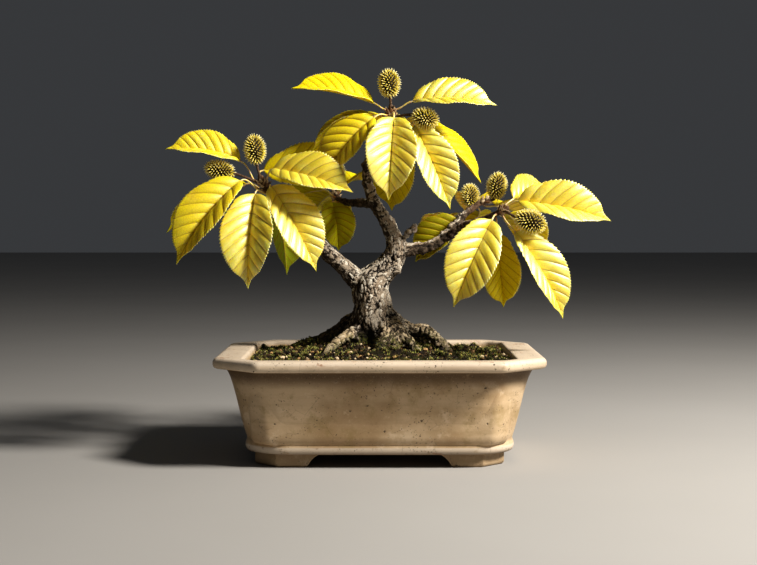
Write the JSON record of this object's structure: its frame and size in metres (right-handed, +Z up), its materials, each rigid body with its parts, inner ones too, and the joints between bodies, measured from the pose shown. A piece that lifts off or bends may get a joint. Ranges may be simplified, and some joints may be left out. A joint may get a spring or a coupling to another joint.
{
  "type": "chestnut bonsai in pot",
  "caption": "Small chestnut tree with toothed yellow leaves, spiny burs and spreading roots, in a chamfered rectangular stoneware pot of soil.",
  "frame": {"origin": "on the surface the pot stands on, under the middle of the whole object's outline", "axes": "+X along the pot's long side, +Y from the front to the back, +Z up"},
  "size_m": [0.4204, 0.2708, 0.3642],
  "materials": {
    "pot": "satin",
    "soil": "matte",
    "drain_mesh": "matte",
    "wood": "matte",
    "leaf": "satin",
    "bur": "matte"
  },
  "bodies": {
    "root": {"bur_back": "bur", "bur_left_side": "bur", "bur_left_upright": "bur", "bur_mid_high": "bur", "bur_mid_low": "bur", "bur_right_side": "bur", "bur_top_side": "bur", "bur_top_upright": "bur", "drain_mesh_left": "drain_mesh", "drain_mesh_right": "drain_mesh", "leaf_back_1": "leaf", "leaf_back_2": "leaf", "leaf_back_3": "leaf", "leaf_back_4": "leaf", "leaf_back_5": "leaf", "leaf_left_1": "leaf", "leaf_left_2": "leaf", "leaf_left_3": "leaf", "leaf_left_4": "leaf", "leaf_left_5": "leaf", "leaf_left_6": "leaf", "leaf_left_7": "leaf", "leaf_left_8": "leaf", "leaf_mid_1": "leaf", "leaf_mid_2": "leaf", "leaf_mid_3": "leaf", "leaf_mid_4": "leaf", "leaf_mid_5": "leaf", "leaf_right_1": "leaf", "leaf_right_2": "leaf", "leaf_right_3": "leaf", "leaf_right_4": "leaf", "leaf_right_5": "leaf", "leaf_right_6": "leaf", "leaf_top_1": "leaf", "leaf_top_10": "leaf", "leaf_top_2": "leaf", "leaf_top_3": "leaf", "leaf_top_4": "leaf", "leaf_top_5": "leaf", "leaf_top_6": "leaf", "leaf_top_7": "leaf", "leaf_top_8": "leaf", "leaf_top_9": "leaf", "pot": "pot", "soil": "soil", "tree": "wood"}
  },
  "joints": []
}
